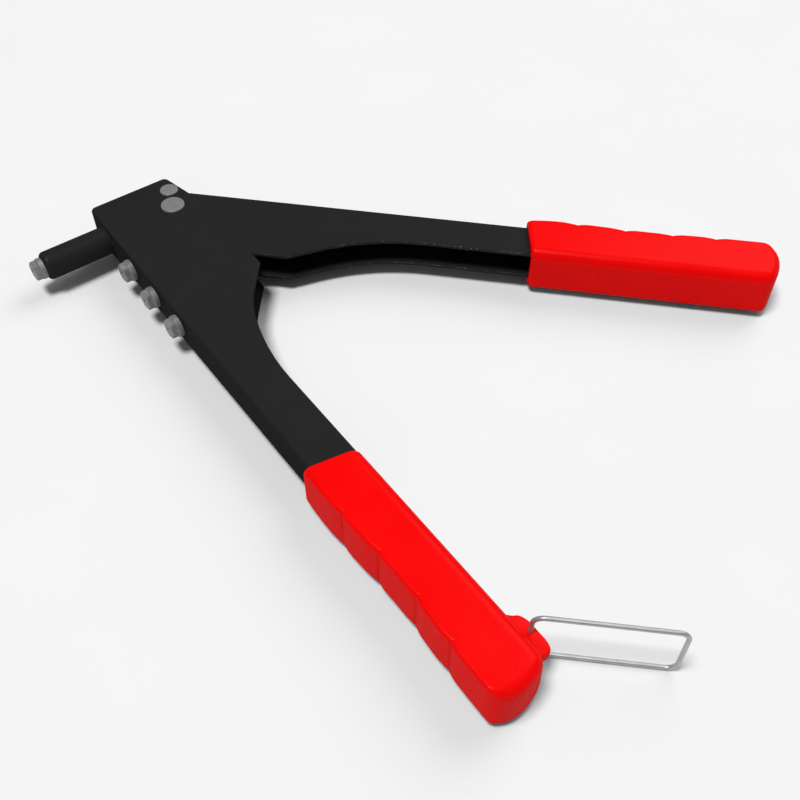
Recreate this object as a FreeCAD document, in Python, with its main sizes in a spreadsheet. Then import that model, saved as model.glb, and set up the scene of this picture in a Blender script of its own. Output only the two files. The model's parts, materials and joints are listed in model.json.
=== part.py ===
import FreeCAD, Part

import math
import os
from types import SimpleNamespace

import Sketcher

# Hand riveter, millimetres. The frame's origin is the centre of the nosepiece's mouth.
# -X points out of the nose, +X into the tool, the fixed handle runs towards -Y, and +Z is
# normal to the plane of the two handles. The handles are open at rest.

Vector = FreeCAD.Vector
Rotation = FreeCAD.Rotation
Placement = FreeCAD.Placement

OUTPUT_FOLDER = "parts"
SHEET_NAME = "Sizes"

SIZES = {
    # The two pins that cross the body, seen from +Z.
    "fulcrum_x": 62.7,
    "fulcrum_y": -5.9,
    "stop_x": 66.3,
    "stop_y": 4.2,
    # Folded steel body: the web is at the front, the open side at the rear.
    "sheet": 1.2,
    "bend": 1.0,
    "body_width": 15.2,
    "web_front": 33.5,
    "head_top": 14.0,
    "head_rear": 69.5,
    "head_round": 2.5,
    "cheek_rear": 74.3,
    "shoulder_y": -8.3,
    "shoulder_round": 12.0,
    "cheek_low_y": -57.9,
    "cheek_round": 2.0,
    "knee_x": 59.6,
    "knee_y": -75.6,
    "knee_round": 46.0,
    "handle_rear": 50.6,
    "handle_y": -100.0,
    "handle_round": 97.0,
    "body_end_y": -250.0,
    "collar_radius": 4.2,
    "collar_height": 2.0,
    # Lever, in its own frame: local X runs along it from the fulcrum, local Y points outwards.
    "lever_angle": 45.9,
    "lever_width": 12.5,
    "lever_outer": 12.0,
    "lever_inner": 5.0,
    "lever_end": 246.0,
    "lever_top": 2.6,
    "plate_depth": 22.3,
    "plate_corner": 54.6,
    "plate_corner_round": 2.5,
    "plate_front": 16.0,
    "plate_front_round": 9.0,
    "throat_along": 5.7,
    "throat_in": 6.5,
    "sweep_along": 85.0,
    "sweep_round": 90.0,
    "fork_radius": 8.7,
    "fork_lead": 21.5,
    "fork_floor": 4.3,
    "fork_play": 0.2,
    # Pins and their retaining clips.
    "fulcrum_radius": 2.5,
    "fulcrum_head": 5.0,
    "fulcrum_crown": 1.6,
    "stop_radius": 1.6,
    "stop_head": 3.85,
    "stop_crown": 1.3,
    "crown_rim_share": 0.7,
    "crown_rim_round_share": 0.3,
    "crown_flat_share": 0.5,
    "crown_blend_share": 0.8,
    "pull_pin_radius": 1.25,
    "pin_clearance": 0.05,
    "pin_tail": 1.8,
    "clip_thickness": 0.8,
    "clip_groove": 0.5,
    "clip_band": 2.0,
    "clip_mouth_share": 0.8,
    # Barrel, its nut and its rear plug.
    "barrel_front": 4.7,
    "barrel_radius": 6.0,
    "barrel_thread": 5.5,
    "barrel_bore": 4.7,
    "barrel_wall": 5.5,
    "barrel_rear": 50.0,
    "barrel_round": 2.0,
    "nut_height": 3.5,
    "nut_flats": 12.6,
    "plug_length": 3.5,
    # Nosepieces: a faceted tip, a round collar and a threaded shank.
    "tip_length": 2.5,
    "tip_flats": 7.2,
    "tip_chamfer": 0.5,
    "nose_collar": 4.5,
    "shank_radius": 3.2,
    "shank_length": 6.2,
    "nose_tail": 0.8,
    "nose_tail_radius": 2.2,
    "bore_fitted": 1.55,
    "bore_small": 0.85,
    "bore_medium": 1.05,
    "bore_large": 1.3,
    "spare_pitch": 19.85,
    "spare_first_y": -22.9,
    # Jaw case and what it carries.
    "jaw_angle": 10.0,
    "case_front": 12.4,
    "case_mouth": 2.45,
    "case_radius": 4.6,
    "case_bore": 3.755,
    "case_cone_end": 19.8,
    "case_rear": 33.0,
    "jaw_front": 11.8,
    "jaw_travel": 2.2,
    "jaw_groove": 1.8,
    "jaw_split": 0.45,
    "jaw_hollow": 2.6,
    "jaw_gap": 0.03,
    "pusher_gap": 0.07,
    "pusher_radius": 3.3,
    "pusher_flange": 3.65,
    "pusher_flange_front": 24.0,
    "pusher_rear": 26.0,
    "pusher_bore": 1.8,
    "pusher_tip": 2.1,
    "jaw_spring_wire": 0.3,
    "jaw_spring_mean": 2.6,
    "jaw_spring_turns": 4.0,
    "rod_front": 30.6,
    "rod_head_rear": 35.4,
    "rod_radius": 2.4,
    "rod_bore": 1.8,
    "rod_bore_end": 52.0,
    "rod_tail": 2.3,
    "ring_radius": 4.5,
    "ring_rear": 35.0,
    "ring_slot": 1.2,
    "return_wire": 0.5,
    "return_mean": 3.45,
    "return_turns": 5.0,
    # Moulded grips.
    "grip_thickness": 20.0,
    "grip_edge": 4.2,
    "grip_front_y": -156.0,
    "grip_end_y": -255.7,
    "grip_outer_x": 30.4,
    "grip_inner_x": 51.4,
    "grip_corner_round": 5.0,
    "grip_crown": 4.0,
    "grip_crown_in": 9.0,
    "grip_crown_round": 15.0,
    "lever_grip_front": 151.0,
    "lever_grip_end": 247.7,
    "lever_grip_outer": 13.9,
    "lever_grip_inner": 8.0,
    "lug_x": 57.4,
    "lug_top_y": -234.0,
    "lug_low_y": -254.0,
    "lug_taper": 4.0,
    "lug_round": 2.4,
    "lug_thickness": 5.5,
    # Wire bail that holds the handles closed.
    "bail_x": 55.4,
    "bail_y": -243.8,
    "bail_angle": 43.6,
    "bail_wire": 0.8,
    "bail_reach": 46.0,
    "bail_spacing": 22.6,
    "bail_bend": 3.6,
    "bail_leg": 0.5,
}


class Size:
    """A dimension that knows its value and the sheet expression that gives it."""

    def __init__(self, value, text):
        self.value = value
        self.text = text

    def __add__(self, other):
        other = as_size(other)
        return Size(self.value + other.value, f"({self.text} + {other.text})")

    def __sub__(self, other):
        other = as_size(other)
        return Size(self.value - other.value, f"({self.text} - {other.text})")

    def __mul__(self, other):
        other = as_size(other)
        return Size(self.value * other.value, f"({self.text} * {other.text})")

    def __truediv__(self, other):
        other = as_size(other)
        return Size(self.value / other.value, f"({self.text} / {other.text})")

    def __neg__(self):
        return Size(-self.value, f"(0 - {self.text})")


def as_size(number):
    return number if isinstance(number, Size) else Size(float(number), f"{number}")


def cosine(angle):
    return Size(math.cos(math.radians(angle.value)), f"cos({angle.text})")


def sine(angle):
    return Size(math.sin(math.radians(angle.value)), f"sin({angle.text})")


def tangent(angle):
    return Size(math.tan(math.radians(angle.value)), f"tan({angle.text})")


S = SimpleNamespace(**{name: Size(value, f"{SHEET_NAME}.{name}") for name, value in SIZES.items()})
ZERO = as_size(0)
QUARTER_TURN = as_size(90)
HALF_TURN = as_size(180)
FULL_TURN = 360.0
SPARES = (("large", S.bore_large), ("medium", S.bore_medium), ("small", S.bore_small))

# Sizes that follow from the driving ones.
INNER_WIDTH = S.body_width - S.sheet * 2
LEVER_GAP = S.lever_width - S.sheet * 2
WEB_REAR = S.web_front + S.sheet
NOSE_HEIGHT = S.barrel_front
PULL_X = S.fulcrum_x + S.fulcrum_y * tangent(S.fork_lead)
JAW_SIDE_SHIFT = S.jaw_travel * sine(S.jaw_angle)
JAW_AXIAL_SHIFT = S.jaw_travel * cosine(S.jaw_angle)

# Values that only make a cut long enough to clear the metal it passes through.
BEYOND = as_size(20)
FAR_BEYOND = as_size(80)

# How a feature is known to have cut or added something, and an edge to lie in a plane.
LEAST_VOLUME = 1e-6
EDGE_SAMPLES = 5
PLANE_TOLERANCE = 1e-4

document = FreeCAD.newDocument("hand_riveter")
sheet = document.addObject("Spreadsheet::Sheet", SHEET_NAME)
for row, (alias, number) in enumerate(SIZES.items(), start=1):
    sheet.set(f"A{row}", alias)
    sheet.set(f"B{row}", str(number))
    sheet.setAlias(f"B{row}", alias)
document.recompute()

subparts = []


# ---------------------------------------------------------------- sketches and features


def bind(item, path, size):
    item.setExpression(path, size.text)


def place(item, x=ZERO, y=ZERO, z=ZERO, axis=Vector(0, 0, 1), angle=ZERO):
    """Puts a sub-part in the riveter's frame and ties its place to the sheet."""
    base = Vector(x.value, y.value, z.value)
    item.Placement = Placement(base, Rotation(axis, angle.value))
    bind(item, "Placement.Base.x", x)
    bind(item, "Placement.Base.y", y)
    bind(item, "Placement.Base.z", z)
    bind(item, "Placement.Rotation.Angle", angle)


def new_body(name):
    body = document.addObject("PartDesign::Body", name)
    body.Label = name
    subparts.append(body)
    return body


def new_sketch(body, plane, offset=None):
    """Attaches a sketch to one of the body's own origin planes, offset along its normal."""
    sketch = body.newObject("Sketcher::SketchObject", f"{body.Name}_sketch")
    support = [item for item in body.Origin.OriginFeatures if item.Role == plane][0]
    sketch.AttachmentSupport = (support, [""])
    sketch.MapMode = "FlatFace"
    if offset is not None:
        sketch.AttachmentOffset = Placement(Vector(0, 0, offset.value), Rotation())
        bind(sketch, "AttachmentOffset.Base.z", offset)
    return sketch


def constrain(sketch, kind, *arguments, size=None):
    """Adds one constraint; a constraint with a size is named and bound to the sheet."""
    values = list(arguments)
    if size is not None:
        values.append(size.value)
    index = sketch.addConstraint(Sketcher.Constraint(kind, *values))
    if size is not None:
        name = f"size_{index}"
        sketch.renameConstraint(index, name)
        bind(sketch, f"Constraints.{name}", size)


def pin_point(sketch, geometry, position, x, y):
    """Fixes a point of the sketch at (x, y) from the sketch's origin."""
    for kind, axis, size in (("DistanceX", -2, x), ("DistanceY", -1, y)):
        if size.value == 0:
            constrain(sketch, "PointOnObject", geometry, position, axis)
        else:
            constrain(sketch, kind, -1, 1, geometry, position, size=size)


def corner_arc(before, corner, after, radius):
    """Returns the tangent points, centre, and turning sense of a rounded corner."""
    incoming = (corner - before).normalize()
    outgoing = (after - corner).normalize()
    turn = incoming.cross(outgoing).z
    half = incoming.getAngle(outgoing) / 2
    setback = radius * math.tan(half)
    entry = corner - incoming * setback
    leave = corner + outgoing * setback
    side = Vector(-incoming.y, incoming.x, 0) * (1 if turn > 0 else -1)
    return entry, leave, entry + side * radius, turn > 0


def draw_outline(sketch, corners, closed=True):
    """Draws lines through the corners (x, y, radius); a radius makes a tangent arc there."""
    count = len(corners)
    points = [Vector(x.value, y.value, 0) for x, y, _ in corners]
    starts = list(points)
    ends = list(points)
    arcs = {}
    for index, (_, _, radius) in enumerate(corners):
        if radius is not None:
            before = points[index - 1]
            after = points[(index + 1) % count]
            entry, leave, centre, leftward = corner_arc(before, points[index], after, radius.value)
            ends[index] = entry
            starts[index] = leave
            first, last = (entry, leave) if leftward else (leave, entry)
            angles = [math.atan2(p.y - centre.y, p.x - centre.x) for p in (first, last)]
            circle = Part.Circle(centre, Vector(0, 0, 1), radius.value)
            arc = sketch.addGeometry(Part.ArcOfCircle(circle, *angles))
            arcs[index] = (arc, 1, 2) if leftward else (arc, 2, 1)
    line_count = count if closed else count - 1
    lines = []
    for index in range(line_count):
        segment = Part.LineSegment(starts[index], ends[(index + 1) % count])
        lines.append(sketch.addGeometry(segment))
    for index, (x, y, radius) in enumerate(corners):
        if not closed and index in (0, count - 1):
            line, position = (lines[0], 1) if index == 0 else (lines[-1], 2)
            pin_point(sketch, line, position, x, y)
            continue
        line_in = lines[index - 1]
        line_out = lines[index % line_count]
        if radius is None:
            constrain(sketch, "Coincident", line_in, 2, line_out, 1)
            pin_point(sketch, line_out, 1, x, y)
            continue
        arc, entry_end, leave_end = arcs[index]
        corner_point = sketch.addGeometry(Part.Point(points[index]), True)
        pin_point(sketch, corner_point, 1, x, y)
        constrain(sketch, "PointOnObject", corner_point, 1, line_in)
        constrain(sketch, "PointOnObject", corner_point, 1, line_out)
        constrain(sketch, "Tangent", line_in, 2, arc, entry_end)
        constrain(sketch, "Tangent", arc, leave_end, line_out, 1)
        constrain(sketch, "Radius", arc, size=radius)


def draw_circle(sketch, x, y, radius):
    centre = Vector(x.value, y.value, 0)
    circle = sketch.addGeometry(Part.Circle(centre, Vector(0, 0, 1), radius.value))
    pin_point(sketch, circle, 3, x, y)
    constrain(sketch, "Radius", circle, size=radius)


def sharp(*points):
    """Corners with no rounding, as draw_outline takes them."""
    return [(x, y, None) for x, y in points]


def box_corners(low_x, low_y, high_x, high_y):
    return sharp((low_x, low_y), (high_x, low_y), (high_x, high_y), (low_x, high_y))


def hexagon_corners(flats):
    """Corners of a hexagon whose flats face the sketch's vertical axis."""
    reach = flats / math.sqrt(3)
    half_reach = reach / 2
    half_flats = flats / 2
    return sharp(
        (reach, ZERO),
        (half_reach, half_flats),
        (-half_reach, half_flats),
        (-reach, ZERO),
        (-half_reach, -half_flats),
        (half_reach, -half_flats),
    )


def extrude(body, sketch, kind, length, symmetric):
    before = body.Shape.Volume if body.Tip else 0.0
    feature = body.newObject(f"PartDesign::{kind}", f"{body.Name}_{kind.lower()}")
    feature.Profile = sketch
    feature.SideType = "Symmetric" if symmetric else "One side"
    bind(feature, "Length", length)
    document.recompute()
    if abs(body.Shape.Volume - before) < LEAST_VOLUME:
        raise RuntimeError(f"{feature.Name} changed nothing")
    return feature


def pad(body, sketch, length, symmetric=True):
    return extrude(body, sketch, "Pad", length, symmetric)


def pocket(body, sketch, length):
    return extrude(body, sketch, "Pocket", length, True)


def turn(body, plane, axis, corners, kind="Revolution"):
    """Revolves an outline about the sketch's own horizontal or vertical axis."""
    before = body.Shape.Volume if body.Tip else 0.0
    sketch = new_sketch(body, plane)
    draw_outline(sketch, corners)
    document.recompute()
    feature = body.newObject(f"PartDesign::{kind}", f"{body.Name}_{kind.lower()}")
    feature.Profile = sketch
    feature.ReferenceAxis = (sketch, [axis])
    feature.Angle = FULL_TURN
    document.recompute()
    if abs(body.Shape.Volume - before) < LEAST_VOLUME:
        raise RuntimeError(f"{feature.Name} changed nothing")
    return feature


def round_edges(body, radius, wanted):
    """Fillets the edges of the body for which wanted(edge) is true."""
    document.recompute()
    base = body.Tip
    names = [f"Edge{n}" for n, edge in enumerate(base.Shape.Edges, start=1) if wanted(edge)]
    feature = body.newObject("PartDesign::Fillet", f"{body.Name}_fillet")
    feature.Base = (base, names)
    bind(feature, "Radius", radius)
    document.recompute()
    return feature


def lies_at(edge, **planes):
    """True when the whole edge lies in each plane given, such as x=3."""
    points = edge.discretize(EDGE_SAMPLES)
    return all(
        abs(getattr(point, axis) - size.value) < PLANE_TOLERANCE
        for axis, size in planes.items()
        for point in points
    )


# ---------------------------------------------------------------- body and lever


def body_channel():
    """Folded U channel that forms the head and the fixed handle."""
    body = new_body("body_channel")
    outline = new_sketch(body, "XY_Plane")
    draw_outline(
        outline,
        [
            (S.web_front, S.head_top, S.head_round),
            (S.web_front, S.body_end_y, None),
            (S.handle_rear, S.body_end_y, None),
            (S.handle_rear, S.handle_y, S.handle_round),
            (S.knee_x, S.knee_y, S.knee_round),
            (S.cheek_rear, S.cheek_low_y, S.cheek_round),
            (S.cheek_rear, S.shoulder_y, S.shoulder_round),
            (S.head_rear, S.head_top, S.head_round),
        ],
    )
    pad(body, outline, S.body_width)
    half_width = S.body_width / 2
    for side in (half_width, -half_width):
        round_edges(body, S.bend, lambda edge: lies_at(edge, x=S.web_front, z=side))
    hollow = new_sketch(body, "XY_Plane")
    low_y = S.body_end_y - BEYOND
    high_y = S.head_top + BEYOND
    draw_outline(hollow, box_corners(WEB_REAR, low_y, S.cheek_rear + BEYOND, high_y))
    pocket(body, hollow, INNER_WIDTH)
    collars = new_sketch(body, "YZ_Plane", WEB_REAR)
    for y in spare_places():
        draw_circle(collars, y, ZERO, S.collar_radius)
    pad(body, collars, S.collar_height, symmetric=False)
    front_holes = new_sketch(body, "YZ_Plane")
    draw_circle(front_holes, ZERO, ZERO, S.barrel_thread)
    for y in spare_places():
        draw_circle(front_holes, y, ZERO, S.shank_radius)
    pocket(body, front_holes, FAR_BEYOND)
    pin_holes = new_sketch(body, "XY_Plane")
    draw_circle(pin_holes, S.fulcrum_x, S.fulcrum_y, S.fulcrum_radius)
    draw_circle(pin_holes, S.stop_x, S.stop_y, S.stop_radius)
    pocket(body, pin_holes, FAR_BEYOND)
    place(body)


def spare_places():
    """The spare nosepieces stand in a row down the web, one pitch apart."""
    return [S.spare_first_y - S.spare_pitch * step for step in range(len(SPARES))]


def place_on_lever(body):
    place(body, S.fulcrum_x, S.fulcrum_y, ZERO, angle=-S.lever_angle)


def lever_channel():
    """Folded U channel nested in the body: the web is outside, the fork drives the pull pin."""
    body = new_body("lever_channel")
    walls = new_sketch(body, "XY_Plane")
    draw_outline(
        walls,
        [
            (-S.lever_top, S.lever_outer, None),
            (-S.throat_along, -S.throat_in, None),
            (S.plate_front, -S.plate_depth, S.plate_front_round),
            (S.plate_corner, -S.plate_depth, S.plate_corner_round),
            (S.sweep_along, -S.lever_inner, S.sweep_round),
            (S.lever_end, -S.lever_inner, None),
            (S.lever_end, S.lever_outer, None),
        ],
    )
    pad(body, walls, S.lever_width)
    half_width = S.lever_width / 2
    for side in (half_width, -half_width):
        round_edges(body, S.bend, lambda edge: lies_at(edge, y=S.lever_outer, z=side))
    boss = new_sketch(body, "XY_Plane")
    draw_circle(boss, ZERO, ZERO, S.fork_radius)
    pad(body, boss, S.lever_width)
    hollow = new_sketch(body, "XY_Plane")
    web_inner = S.lever_outer - S.sheet
    far = S.lever_end + BEYOND
    draw_outline(
        hollow,
        sharp(
            (-BEYOND, BEYOND),
            (-BEYOND, -S.plate_depth - BEYOND),
            (far, -S.plate_depth - BEYOND),
            (far, web_inner),
            (-S.lever_top, web_inner),
            (-S.lever_top, BEYOND),
        ),
    )
    pocket(body, hollow, LEVER_GAP)
    pivot = new_sketch(body, "XY_Plane")
    draw_circle(pivot, ZERO, ZERO, S.fulcrum_radius + S.pin_clearance)
    pocket(body, pivot, FAR_BEYOND)
    slot = new_sketch(body, "XY_Plane")
    draw_outline(slot, fork_slot())
    pocket(body, slot, FAR_BEYOND)
    place_on_lever(body)


def fork_slot():
    """A slot along the line from the fulcrum to the pull pin, open at the fork's tip."""
    direction = QUARTER_TURN + S.fork_lead + S.lever_angle
    half = S.pull_pin_radius + S.fork_play / 2
    tip = S.fork_radius + S.pull_pin_radius
    corners = []
    for reach, side in ((S.fork_floor, -half), (tip, -half), (tip, half), (S.fork_floor, half)):
        x = reach * cosine(direction) - side * sine(direction)
        y = reach * sine(direction) + side * cosine(direction)
        corners.append((x, y, None))
    return corners


def headed_pin(name, x, y, radius, head, crown):
    """A pin with a crowned head on the +Z cheek and a clip groove beyond the other cheek."""
    body = new_body(name)
    seat = S.body_width / 2
    tail = -seat - S.pin_tail
    groove_top = -seat
    groove_low = groove_top - S.clip_thickness
    groove = radius - S.clip_groove
    turn(
        body,
        "XZ_Plane",
        "V_Axis",
        [
            (ZERO, tail, None),
            (groove, tail, None),
            (radius, tail + S.clip_groove, None),
            (radius, groove_low, None),
            (groove, groove_low, None),
            (groove, groove_top, None),
            (radius, groove_top, None),
            (radius, seat, None),
            (head, seat, None),
            (head, seat + crown * S.crown_rim_share, crown * S.crown_rim_round_share),
            (head * S.crown_flat_share, seat + crown, head * S.crown_blend_share),
            (ZERO, seat + crown, None),
        ],
    )
    place(body, x, y)


def retaining_clip(name, x, y, radius):
    """An open ring that snaps into a pin's groove under the -Z cheek."""
    body = new_body(name)
    top = -S.body_width / 2
    inner = radius - S.clip_groove
    ring = new_sketch(body, "XY_Plane", top - S.clip_thickness)
    draw_circle(ring, ZERO, ZERO, inner + S.clip_band)
    draw_circle(ring, ZERO, ZERO, inner)
    pad(body, ring, S.clip_thickness, symmetric=False)
    mouth = new_sketch(body, "XY_Plane")
    half_mouth = inner * S.clip_mouth_share
    draw_outline(mouth, box_corners(ZERO, -half_mouth, BEYOND, half_mouth))
    pocket(body, mouth, FAR_BEYOND)
    place(body, x, y)


# ---------------------------------------------------------------- barrel and nosepieces


def barrel():
    """Turned sleeve that shoulders on the web; its rear thread passes into the body."""
    body = new_body("barrel")
    inner_wall = S.barrel_front + S.barrel_wall
    turn(
        body,
        "XY_Plane",
        "H_Axis",
        [
            (S.barrel_front, S.shank_radius, None),
            (S.barrel_front, S.barrel_radius, S.barrel_round),
            (S.web_front, S.barrel_radius, None),
            (S.web_front, S.barrel_thread, None),
            (S.barrel_rear, S.barrel_thread, None),
            (S.barrel_rear, S.barrel_bore, None),
            (inner_wall, S.barrel_bore, None),
            (inner_wall, S.shank_radius, None),
        ],
    )
    place(body)


def barrel_nut():
    """Thin hexagonal nut that clamps the barrel to the web from inside the channel."""
    body = new_body("barrel_nut")
    outline = new_sketch(body, "YZ_Plane")
    draw_outline(outline, hexagon_corners(S.nut_flats))
    pad(body, outline, S.nut_height, symmetric=False)
    hole = new_sketch(body, "YZ_Plane")
    draw_circle(hole, ZERO, ZERO, S.barrel_thread)
    pocket(body, hole, FAR_BEYOND)
    place(body, WEB_REAR)


def barrel_plug():
    """Ring in the barrel's rear end: it guides the pull rod and seats the return spring."""
    body = new_body("barrel_plug")
    hole = S.rod_radius + S.pin_clearance
    turn(
        body,
        "XY_Plane",
        "H_Axis",
        sharp((ZERO, hole), (ZERO, S.barrel_bore), (S.plug_length, S.barrel_bore), (S.plug_length, hole)),
    )
    place(body, S.barrel_rear - S.plug_length)


def nosepiece(name, bore, x, y):
    """Nosepiece with its mouth at its own origin and its shank towards +X."""
    body = new_body(name)
    tip = new_sketch(body, "YZ_Plane")
    draw_outline(tip, hexagon_corners(S.tip_flats))
    pad(body, tip, S.tip_length, symmetric=False)
    face = S.tip_flats / 2 - S.tip_chamfer / 4
    corner = S.tip_flats / 2 + S.tip_chamfer
    chamfer = sharp((-S.tip_chamfer, face), (ZERO, face), (S.tip_chamfer, corner), (-S.tip_chamfer, corner))
    turn(body, "XY_Plane", "H_Axis", chamfer, kind="Groove")
    shank_end = NOSE_HEIGHT + S.shank_length
    tail_end = shank_end + S.nose_tail
    turn(
        body,
        "XY_Plane",
        "H_Axis",
        [
            (S.tip_length, ZERO, None),
            (S.tip_length, S.nose_collar, S.tip_chamfer),
            (NOSE_HEIGHT, S.nose_collar, S.tip_chamfer / 2),
            (NOSE_HEIGHT, S.shank_radius, None),
            (shank_end, S.shank_radius, None),
            (tail_end, S.nose_tail_radius, None),
            (tail_end, ZERO, None),
        ],
    )
    hole = new_sketch(body, "YZ_Plane")
    draw_circle(hole, ZERO, ZERO, bore)
    pocket(body, hole, FAR_BEYOND)
    place(body, x, y)


# ---------------------------------------------------------------- jaws and pull rod


def jaw_case():
    """Sleeve with an inner cone that closes the jaws as it is pulled back."""
    body = new_body("jaw_case")
    cone_end = S.case_mouth + (S.case_cone_end - S.case_front) * tangent(S.jaw_angle)
    turn(
        body,
        "XY_Plane",
        "H_Axis",
        sharp(
            (S.case_front, S.case_mouth),
            (S.case_front, S.case_radius - S.tip_chamfer),
            (S.case_front + S.tip_chamfer, S.case_radius),
            (S.case_rear, S.case_radius),
            (S.case_rear, S.case_bore),
            (S.case_cone_end, S.case_bore),
            (S.case_cone_end, cone_end),
        ),
    )
    place(body)


def primitive(kind, name, **sizes):
    item = document.addObject(f"Part::{kind}", name)
    for path, size in sizes.items():
        bind(item, path, size)
    return item


def boolean(kind, name, base, tool):
    item = document.addObject(f"Part::{kind}", name)
    item.Base = base
    item.Tool = tool
    return item


def jaw(name, turned):
    """Half of a split cone; its outer cone is offset so that it seats when the jaws close."""
    along_x = Vector(0, 1, 0)
    length = S.case_cone_end - S.jaw_front
    slope = tangent(S.jaw_angle)
    front = S.case_mouth + (S.jaw_front - JAW_AXIAL_SHIFT - S.case_front) * slope - S.jaw_gap
    cone = primitive("Cone", f"{name}_cone", Radius1=front, Radius2=front + length * slope, Height=length)
    place(cone, S.jaw_front, JAW_SIDE_SHIFT, ZERO, along_x, QUARTER_TURN)
    block = primitive("Box", f"{name}_block", Length=FAR_BEYOND, Width=BEYOND, Height=FAR_BEYOND)
    place(block, ZERO, S.jaw_split, -FAR_BEYOND / 2)
    half = boolean("Common", f"{name}_half", cone, block)
    groove = primitive("Cylinder", f"{name}_groove", Radius=S.jaw_groove, Height=FAR_BEYOND)
    place(groove, ZERO, ZERO, ZERO, along_x, QUARTER_TURN)
    grooved = boolean("Cut", f"{name}_grooved", half, groove)
    depth = S.jaw_hollow - S.jaw_groove / 2
    hollow = primitive("Cone", f"{name}_hollow", Radius1=S.jaw_groove / 2, Radius2=S.jaw_hollow, Height=depth)
    place(hollow, S.case_cone_end - depth, ZERO, ZERO, along_x, QUARTER_TURN)
    item = boolean("Cut", name, grooved, hollow)
    item.Label = name
    place(item, axis=Vector(1, 0, 0), angle=HALF_TURN if turned else ZERO)
    subparts.append(item)


def jaw_pusher():
    """Hollow plunger whose 45 degree nose presses in the jaws' rear hollow."""
    body = new_body("jaw_pusher")
    # On the nose, the radius grows as fast as the distance along the axis.
    rear_of_jaws = S.case_cone_end + S.pusher_gap
    nose = rear_of_jaws - S.jaw_hollow + S.pusher_tip
    shoulder = rear_of_jaws - S.jaw_hollow + S.pusher_radius
    turn(
        body,
        "XY_Plane",
        "H_Axis",
        sharp(
            (nose, S.pusher_bore),
            (nose, S.pusher_tip),
            (shoulder, S.pusher_radius),
            (S.pusher_flange_front, S.pusher_radius),
            (S.pusher_flange_front, S.pusher_flange),
            (S.pusher_rear, S.pusher_flange),
            (S.pusher_rear, S.pusher_bore),
        ),
    )
    place(body)


def coil_spring(name, start, end, wire, mean, turns):
    """Helical compression spring along X between two planes, a wire's gap clear of each."""
    body = new_body(name)
    sketch = new_sketch(body, "XY_Plane")
    first = wire + S.jaw_gap
    draw_circle(sketch, first, mean, wire)
    document.recompute()
    helix = body.newObject("PartDesign::AdditiveHelix", f"{name}_helix")
    helix.Profile = sketch
    helix.ReferenceAxis = (sketch, ["H_Axis"])
    helix.Mode = "height-turns-angle"
    rise = end - start - first * 2
    bind(helix, "Height", rise)
    bind(helix, "Turns", turns)
    document.recompute()
    place(body, start)


def pull_rod():
    """Stepped rod: its head closes the jaw case, its solid tail is crossed by the pull pin."""
    body = new_body("pull_rod")
    tail = PULL_X + S.rod_tail
    turn(
        body,
        "XY_Plane",
        "H_Axis",
        sharp(
            (S.rod_front, S.rod_bore),
            (S.rod_front, S.case_bore),
            (S.rod_head_rear, S.case_bore),
            (S.rod_head_rear, S.rod_radius),
            (tail - S.clip_groove, S.rod_radius),
            (tail, S.rod_radius - S.clip_groove),
            (tail, ZERO),
            (S.rod_bore_end, ZERO),
            (S.rod_bore_end, S.rod_bore),
        ),
    )
    hole = new_sketch(body, "XY_Plane")
    draw_circle(hole, PULL_X, ZERO, S.pull_pin_radius)
    pocket(body, hole, FAR_BEYOND)
    place(body)


def lock_ring():
    """Slotted ring that locks the pull rod's head in the jaw case."""
    body = new_body("lock_ring")
    turn(
        body,
        "XY_Plane",
        "H_Axis",
        sharp(
            (S.case_rear, S.case_bore),
            (S.case_rear, S.ring_radius),
            (S.ring_rear, S.ring_radius),
            (S.ring_rear, S.case_bore),
        ),
    )
    slots = new_sketch(body, "XY_Plane")
    half_slot = S.ring_slot / 2
    draw_outline(slots, box_corners(S.ring_rear - half_slot, -BEYOND, S.ring_rear + half_slot, BEYOND))
    pocket(body, slots, S.ring_slot)
    place(body)


def pull_pin():
    body = new_body("pull_pin")
    circle = new_sketch(body, "XY_Plane")
    draw_circle(circle, ZERO, ZERO, S.pull_pin_radius)
    pad(body, circle, S.lever_width)
    place(body, PULL_X)


# ---------------------------------------------------------------- grips and bail


def round_grip(body, mouth_axis, mouth):
    """Rounds the long edges on both faces, leaving the mouth's edge square."""
    half = S.grip_thickness / 2
    for side in (half, -half):
        round_edges(
            body,
            S.grip_edge,
            lambda edge: lies_at(edge, z=side) and not lies_at(edge, **{mouth_axis: mouth}),
        )


def fixed_grip():
    """Moulded sleeve on the fixed handle, with the lug that carries the bail."""
    body = new_body("fixed_grip")
    outline = new_sketch(body, "XY_Plane")
    draw_outline(
        outline,
        [
            (S.grip_outer_x, S.grip_front_y, None),
            (S.grip_outer_x, S.grip_end_y, S.grip_corner_round),
            (S.grip_outer_x + S.grip_crown_in, S.grip_end_y - S.grip_crown, S.grip_crown_round),
            (S.grip_inner_x, S.grip_end_y, S.grip_corner_round),
            (S.grip_inner_x, S.grip_front_y, None),
        ],
    )
    pad(body, outline, S.grip_thickness)
    round_grip(body, "y", S.grip_front_y)
    lug = new_sketch(body, "XY_Plane")
    root = S.grip_inner_x - S.sheet
    draw_outline(
        lug,
        [
            (root, S.lug_top_y, None),
            (root, S.lug_low_y, None),
            (S.lug_x, S.lug_low_y + S.lug_taper, S.lug_round),
            (S.lug_x, S.lug_top_y - S.lug_taper, S.lug_round),
        ],
    )
    pad(body, lug, S.lug_thickness)
    hole = new_sketch(body, "XY_Plane")
    draw_circle(hole, S.bail_x, S.bail_y, S.bail_wire + S.pin_clearance)
    pocket(body, hole, FAR_BEYOND)
    socket = new_sketch(body, "XY_Plane")
    draw_outline(
        socket,
        box_corners(S.web_front, S.body_end_y, S.handle_rear, S.grip_front_y + BEYOND),
    )
    pocket(body, socket, S.body_width)
    place(body)


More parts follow.
